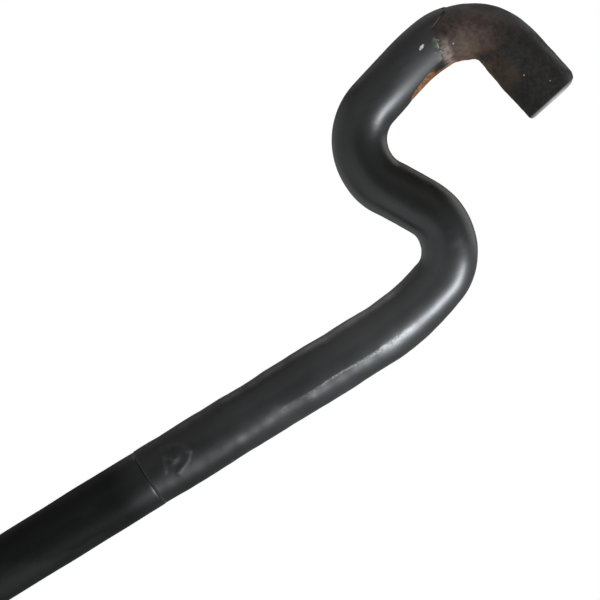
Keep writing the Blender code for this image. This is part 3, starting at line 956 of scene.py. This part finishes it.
ROUNDED = (
    ("bracket", "black_paint", BRACKET_PAINT, 0.0009, ("back_plate", "top_guide", "bottom_guide")),
    ("bracket", "black_paint", BRACKET_PAINT, 0.0006, numbered("gusset_")),
    ("bracket", "zinc_plate", ZINC, 0.0003, numbered("screw_washer_")),
    ("lift_collar", "zinc_plate", ZINC, 0.0005, ("lift_washer",)),
    ("cane", "pin_steel", PIN_STEEL, 0.00035, ("rest_pin", "stop_pin")),
)


def merged_copy(node):
    """A copy of a CAD node's mesh with its loose triangles joined into flat faces."""
    shape = bmesh.new()
    shape.from_mesh(frame["nodes"][node].data)
    bmesh.ops.remove_doubles(shape, verts=shape.verts, dist=0.00001)
    flat = math.radians(1)
    bmesh.ops.dissolve_limit(shape, angle_limit=flat, verts=shape.verts, edges=shape.edges)
    return mesh_from(shape, node + "_worn")


def rounded_piece(node, body, slot, material, width):
    mesh = merged_copy(node)
    mesh.materials.append(material)
    piece = show(node + "_worn", mesh, body, slot, node, smooth_angle=30)
    bevel = piece.modifiers.new("round", "BEVEL")
    bevel.width = width
    bevel.segments = 3
    bevel.limit_method = "ANGLE"
    bevel.angle_limit = math.radians(30)
    bevel.harden_normals = True
    return piece


for body, slot, material, width, nodes in ROUNDED:
    made = [rounded_piece(node, body, slot, material, width) for node in nodes]
    print(body, slot, "rounded by", width * 1000, "mm:", [piece.name for piece in made])

# %% [markdown]
# ## Weld beads
#
# A hand weld is a row of overlapping ripples. Each bead is a short rippled bar swept along the corner it
# fills, so the tree that made the rod makes the beads too. The corners come from the plates' boxes.

# %% Lay the welds
BEAD_RADIUS = 0.0019
BEAD_PITCH = 0.0019
BEAD_STEP = 0.0003
BEAD_SIDES = 14
BEAD_RIPPLE = 0.09
RUN_OUT = 0.0018
PLATE_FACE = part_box("back_plate")[0].y


def bead(name, start, end):
    """One weld bead between two points, with its ends run out to nothing."""
    start, end = Vector(start), Vector(end)
    count = max(8, round((end - start).length / BEAD_STEP))
    share = np.linspace(0, 1, count)
    points = np.array(start) + share[:, None] * np.array(end - start)
    from_end = np.minimum(share, 1 - share) * (end - start).length
    wobble = 1 + 0.07 * np.sin(share * 19 + start.x * 900 + start.z * 300)
    radii = BEAD_RADIUS * np.sqrt(np.clip(from_end / RUN_OUT + 0.02, 0, 1)) * wobble
    return swept(name, points, radii, BEAD_SIDES, BRACKET_PAINT, ripple=BEAD_RIPPLE, pitch=BEAD_PITCH)


def guide_beads(node, away):
    """Beads on both sides of a guide where it meets the back plate. Its outer side is up if away is 1."""
    low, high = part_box(node)
    inner_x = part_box("gusset_top_right")[0].x - 0.001
    outer_z, inner_z = (high.z, low.z) if away > 0 else (low.z, high.z)
    outer_x = high.x - 0.003
    yield (-outer_x, PLATE_FACE, outer_z), (outer_x, PLATE_FACE, outer_z)
    yield (-inner_x, PLATE_FACE, inner_z), (inner_x, PLATE_FACE, inner_z)


def gusset_beads(node, away):
    """Beads on a gusset's two sides, along the back plate and along its guide."""
    low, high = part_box(node)
    guide_z = high.z if away > 0 else low.z
    far_z = low.z if away > 0 else high.z
    for x in (low.x, high.x):
        yield (x, PLATE_FACE, guide_z - away * 0.006), (x, PLATE_FACE, far_z + away * 0.001)
        yield (x, high.y - 0.006, guide_z), (x, low.y + 0.001, guide_z)


def make_welds():
    corners = []
    for end, away in (("top", 1), ("bottom", -1)):
        corners += guide_beads(f"{end}_guide", away)
        for side in ("left", "right"):
            corners += gusset_beads(f"gusset_{end}_{side}", away)
    shape = bmesh.new()
    for number, (start, end) in enumerate(corners):
        mesh = bead(f"bead_{number}", start, end)
        shape.from_mesh(mesh)
        bpy.data.meshes.remove(mesh)
    joined = mesh_from(shape, "weld_beads")
    joined.materials.append(BRACKET_PAINT)
    print(len(corners), "weld beads with", len(joined.polygons), "faces")
    return show("weld_beads", joined, "bracket", "black_paint", smooth_angle=60)


make_welds()

# %% [markdown]
# ## Coach screws
#
# A coach screw has a hexagon head, a plain shank and a coarse thread that ends in a point. The head and
# core are rings stacked along the screw. A Geometry Nodes tree winds the thread as a spiral, draws it in
# where the point tapers, and joins it to the core.

# %% The thread's tree
SCREW_NODES = numbered("coach_screw_")
SCREW_LOW, SCREW_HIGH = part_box(SCREW_NODES[0])
HEAD_FLATS = 0.013
HEAD_HEIGHT = 0.0055
SHANK_RADIUS = 0.004
CORE_RADIUS = 0.003
PLAIN_LENGTH = 0.012
POINT_LENGTH = 0.009
THREAD_PITCH = 0.003
SCREW_LENGTH = SCREW_HIGH.y - SCREW_LOW.y - HEAD_HEIGHT


def thread_tree():
    """Winds a tapered thread round a screw's core and joins the two."""
    names = ("Start", "Length", "Turns", "Radius", "Depth", "Taper from")
    nodes, given = new_tree("screw thread", [(name, "Float") for name in names])
    start, length, turns, radius, depth, taper_from = [given.other(name) for name in names]
    wound = {
        "Resolution": 28,
        "Rotations": turns,
        "Start Radius": radius,
        "End Radius": radius,
        "Height": length,
    }
    spiral = nodes.add("GeometryNodeCurveSpiral", {}, wound)
    upright = nodes.add("GeometryNodeSetCurveNormal", {"mode": "Z_UP"}, {"Curve": spiral})
    diamond = nodes.add("GeometryNodeCurvePrimitiveCircle", {}, {"Resolution": 4, "Radius": depth})
    sweep_inputs = {"Curve": upright, "Profile Curve": diamond, "Fill Caps": True}
    thread = nodes.add("GeometryNodeCurveToMesh", {}, sweep_inputs)
    lift = nodes.add("ShaderNodeCombineXYZ", {}, {"Z": start})
    thread = nodes.add("GeometryNodeSetPosition", {}, {"Geometry": thread, "Offset": lift})
    place = nodes.add("ShaderNodeSeparateXYZ", {}, {0: nodes.add("GeometryNodeInputPosition")})
    x, y, z = place, place.other("Y"), place.other("Z")
    left = ((start + length - z) / (start + length - taper_from)).clamped()
    drawn_in = nodes.add("ShaderNodeCombineXYZ", {}, {"X": x * left, "Y": y * left, "Z": z})
    thread = nodes.add("GeometryNodeSetPosition", {}, {"Geometry": thread, "Position": drawn_in})
    both = nodes.add("GeometryNodeJoinGeometry")
    for wire in (thread, given):
        nodes.tree.links.new(wire.socket, both.socket.node.inputs[0])
    return end_tree(nodes, both, given.other("Material"))


print("a screw is", round(SCREW_LENGTH * 1000, 1), "mm long under its head")

# %% Make the screws
RING_SIDES = 48
RING_ANGLES = np.arange(RING_SIDES) * math.tau / RING_SIDES


def stacked(rows):
    """A closed solid from rings up the Z axis, each a height and its radii."""
    shape = bmesh.new()
    rings = []
    for height, radii in rows:
        spread = np.broadcast_to(radii, RING_SIDES)
        ring = [(r * math.cos(a), r * math.sin(a), height) for r, a in zip(spread, RING_ANGLES)]
        rings.append([shape.verts.new(place) for place in ring])
    for lower, upper in zip(rings, rings[1:]):
        for i in range(RING_SIDES):
            j = (i + 1) % RING_SIDES
            shape.faces.new((lower[i], lower[j], upper[j], upper[i]))
    shape.faces.new(rings[0][::-1])
    shape.faces.new(rings[-1])
    return mesh_from(shape, "screw_core")


def screw_core():
    """The head and core, with the seat under the head at height 0 and the point up."""
    flats, top, thread_from = HEAD_FLATS / 2, -HEAD_HEIGHT, PLAIN_LENGTH
    hexagon = flats / np.cos((RING_ANGLES + math.pi / 6) % (math.pi / 3) - math.pi / 6)
    rows = [
        (top, 0.86 * flats),
        (top + 0.0001, 0.9 * flats),
        (top + 0.0005, np.minimum(hexagon, 1.02 * flats)),
        (top + 0.0009, np.minimum(hexagon, 1.09 * flats)),
        (top + 0.0014, hexagon),
        (-0.0003, hexagon),
        (0.0, 0.98 * hexagon),
        (0.00005, SHANK_RADIUS + 0.0004),
        (0.0006, SHANK_RADIUS),
        (thread_from, SHANK_RADIUS),
        (thread_from + 0.0012, CORE_RADIUS),
        (SCREW_LENGTH - POINT_LENGTH, CORE_RADIUS),
        (SCREW_LENGTH - 0.0003, 0.0003),
        (SCREW_LENGTH, 0.0001),
    ]
    return stacked(rows)


def make_screws():
    source = linked("screw", screw_core())
    threaded = SCREW_LENGTH - PLAIN_LENGTH
    inputs = {
        "Start": PLAIN_LENGTH,
        "Length": threaded - 0.0012,
        "Turns": threaded / THREAD_PITCH,
        "Radius": CORE_RADIUS,
        "Depth": SHANK_RADIUS - CORE_RADIUS,
        "Taper from": SCREW_LENGTH - POINT_LENGTH,
        "Material": ZINC,
    }
    screw = grown("screw", source, thread_tree(), inputs)
    into_gate = Matrix.Rotation(math.radians(-90), 4, "X")
    for number, node in enumerate(SCREW_NODES):
        low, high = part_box(node)
        middle = Vector(((low.x + high.x) / 2, low.y + HEAD_HEIGHT, (low.z + high.z) / 2))
        turned = Matrix.Rotation(math.radians(7 + 13 * number), 4, "Z")
        mesh = screw.copy()
        mesh.transform(Matrix.Translation(middle) @ into_gate @ turned)
        show(node + "_threaded", mesh, "bracket", "zinc_plate", node)
    bpy.data.meshes.remove(screw)


make_screws()
print("screws:", SCREW_NODES)

# %% [markdown]
# ## Floor, light and camera
#
# The bolt stands over a pale floor in an even white room. A narrow soft window from the front right draws
# the long highlight down the tubing. Three weaker lights help it: a broad one opens the shadow side, one
# from behind edges the left side, and the ceiling lights it from above. The camera looks straight at the
# crook's flat side, from near its own height, and is rolled so that the shaft runs down to the left.

# %% Floor
FLOOR_RADIUS = 1.4
FLOOR_GAP = 0.0005


def floor_finish():
    finish = Finish("pale_floor", {"Specular IOR Level": 0.3})
    finish.base(finish.mix(finish.noise(3, detail=3), rgb(226, 226, 225), rgb(234, 234, 233)))
    finish.feed("Roughness", 0.75 + finish.noise(40) * 0.1)
    return finish.material


def make_floor():
    shape = bmesh.new()
    bmesh.ops.create_circle(shape, cap_ends=True, segments=96, radius=FLOOR_RADIUS)
    bmesh.ops.translate(shape, verts=shape.verts, vec=(0, AXIS_Y, ROD_LOW.z - FLOOR_GAP))
    mesh = mesh_from(shape, "floor")
    mesh.materials.append(floor_finish())
    floor = linked("floor", mesh)


make_floor()
print("the floor is at z =", round(ROD_LOW.z - FLOOR_GAP, 4))

# %% Light
AIM = Vector((-0.0242, AXIS_Y, BEND_Z - 0.0143))
AMBIENT = 0.15


def make_world():
    """White where the camera sees it, and dimmer as a light."""
    world = bpy.data.worlds.new("white_room")
    world.use_nodes = True
    nodes = Nodes(world.node_tree)
    world.node_tree.nodes.clear()
    seen = nodes.add("ShaderNodeLightPath").other("Is Camera Ray")
    strength = AMBIENT + seen * (1.0 - AMBIENT)
    sky = nodes.add("ShaderNodeBackground", {}, {"Color": (1, 1, 1, 1), "Strength": strength})
    end = world.node_tree.nodes.new("ShaderNodeOutputWorld")
    world.node_tree.links.new(sky.socket, end.inputs["Surface"])
    bpy.context.scene.world = world


def area_light(name, direction, distance, size, power, color):
    """A soft light that shines at the crook from a direction."""
    data = bpy.data.lights.new(name, "AREA")
    data.shape = "RECTANGLE"
    data.size, data.size_y = size
    data.energy = power
    data.color = color
    lamp = linked(name, data)
    lamp.location = AIM + Vector(direction).normalized() * distance
    lamp.rotation_euler = (AIM - lamp.location).to_track_quat("-Z", "Y").to_euler()
    lamp.visible_camera = False


make_world()
area_light("window", (0.78, -0.5, 0.4), 1.3, (0.34, 0.8), 28, (0.9, 0.95, 1.0))
area_light("room", (-0.75, -0.6, 0.25), 1.2, (1.5, 1.5), 2.6, (1.0, 0.99, 0.98))
area_light("far_wall", (-0.8, 0.5, 0.3), 1.2, (0.6, 0.8), 1.8, (1.0, 1.0, 1.0))
area_light("ceiling", (0.0, 0.45, 1.0), 1.7, (1.5, 1.5), 7, (1.0, 0.99, 0.97))
bpy.context.scene.view_settings.view_transform = "Standard"

# %% Camera
VIEW_WIDTH = 0.2013
CAMERA_DISTANCE = 0.8
SHAFT_SLOPE = math.radians(31.7)  # how far above level the shaft runs in the view


def make_camera():
    data = bpy.data.cameras.new("camera")
    data.sensor_width = 36.0
    data.lens = data.sensor_width * CAMERA_DISTANCE / VIEW_WIDTH
    data.clip_start = 0.01
    camera = linked("camera", data)
    right = Vector((math.sin(SHAFT_SLOPE), 0, math.cos(SHAFT_SLOPE)))
    up = Vector((-math.cos(SHAFT_SLOPE), 0, math.sin(SHAFT_SLOPE)))
    back = right.cross(up)
    turned = Matrix((right, up, back)).transposed().to_4x4()
    camera.matrix_world = Matrix.Translation(AIM + back * CAMERA_DISTANCE) @ turned
    bpy.context.scene.camera = camera


make_camera()
print("the camera sees", VIEW_WIDTH, "m across at the crook")
